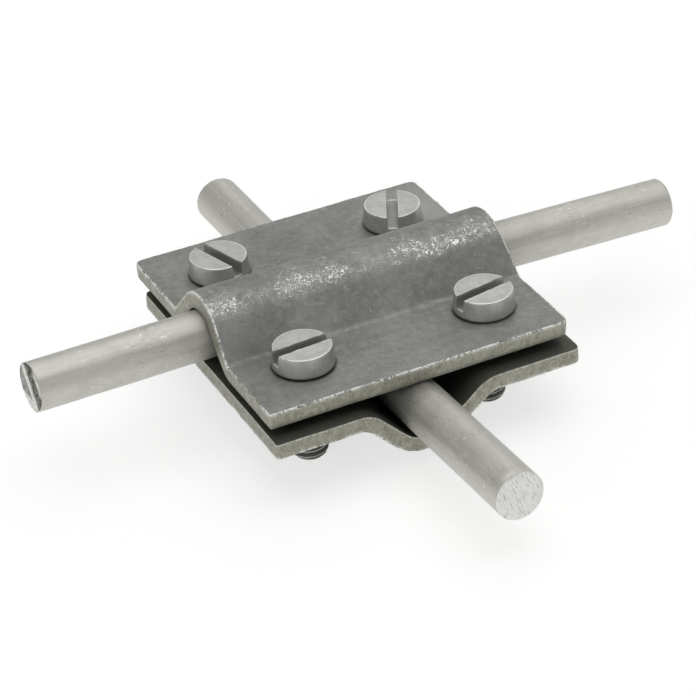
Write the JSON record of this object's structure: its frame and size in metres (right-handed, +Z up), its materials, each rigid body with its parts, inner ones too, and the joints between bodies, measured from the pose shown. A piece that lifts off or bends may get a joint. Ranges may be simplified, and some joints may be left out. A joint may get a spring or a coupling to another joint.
{
  "type": "cross connector clamp",
  "caption": "Pressed ridged plates, turned a quarter turn to each other and drawn together by slotted cheese head screws, clamp crossing round conductors.",
  "frame": {"origin": "the point where the two conductors meet, in the middle of the clamp", "axes": "+X along the upper conductor, +Y along the lower conductor, +Z up, from the lower plate to the screw heads"},
  "size_m": [0.1124, 0.1071, 0.0234],
  "materials": {
    "galvanised_plate": "hot-dip galvanised, dull grey with bright scratches",
    "screw_steel": "zinc plated, turned, satin",
    "conductor_aluminium": "drawn satin aluminium with fine lengthwise marks"
  },
  "bodies": {
    "clamp_base": {"lower_plate": "galvanised_plate", "upper_conductor": "conductor_aluminium", "lower_conductor": "conductor_aluminium"},
    "clamp_cover": {"upper_plate": "galvanised_plate"},
    "front_left_screw": {"screw_front_left": "screw_steel"},
    "front_right_screw": {"screw_front_right": "screw_steel"},
    "back_left_screw": {"screw_back_left": "screw_steel"},
    "back_right_screw": {"screw_back_right": "screw_steel"}
  },
  "joints": [
    {"name": "cover_lift", "type": "slide", "parent": "clamp_base", "child": "clamp_cover", "axis": [0, 0, 1], "range_m": [0, 0.01]},
    {"name": "front_left_turn", "type": "hinge", "parent": "clamp_cover", "child": "front_left_screw", "pos_m": [-0.01486, -0.01534, 0], "axis": [0, 0, 1], "range_deg": [0, 3600]},
    {"name": "front_right_turn", "type": "hinge", "parent": "clamp_cover", "child": "front_right_screw", "pos_m": [0.01652, -0.01534, 0], "axis": [0, 0, 1], "range_deg": [0, 3600]},
    {"name": "back_left_turn", "type": "hinge", "parent": "clamp_cover", "child": "back_left_screw", "pos_m": [-0.01486, 0.01604, 0], "axis": [0, 0, 1], "range_deg": [0, 3600]},
    {"name": "back_right_turn", "type": "hinge", "parent": "clamp_cover", "child": "back_right_screw", "pos_m": [0.01652, 0.01604, 0], "axis": [0, 0, 1], "range_deg": [0, 3600]}
  ],
  "couplings": [
    {"joint": "front_left_turn", "follows": "cover_lift", "rad_per_m": 6283.2},
    {"joint": "front_right_turn", "follows": "cover_lift", "rad_per_m": 6283.2},
    {"joint": "back_left_turn", "follows": "cover_lift", "rad_per_m": 6283.2},
    {"joint": "back_right_turn", "follows": "cover_lift", "rad_per_m": 6283.2}
  ]
}
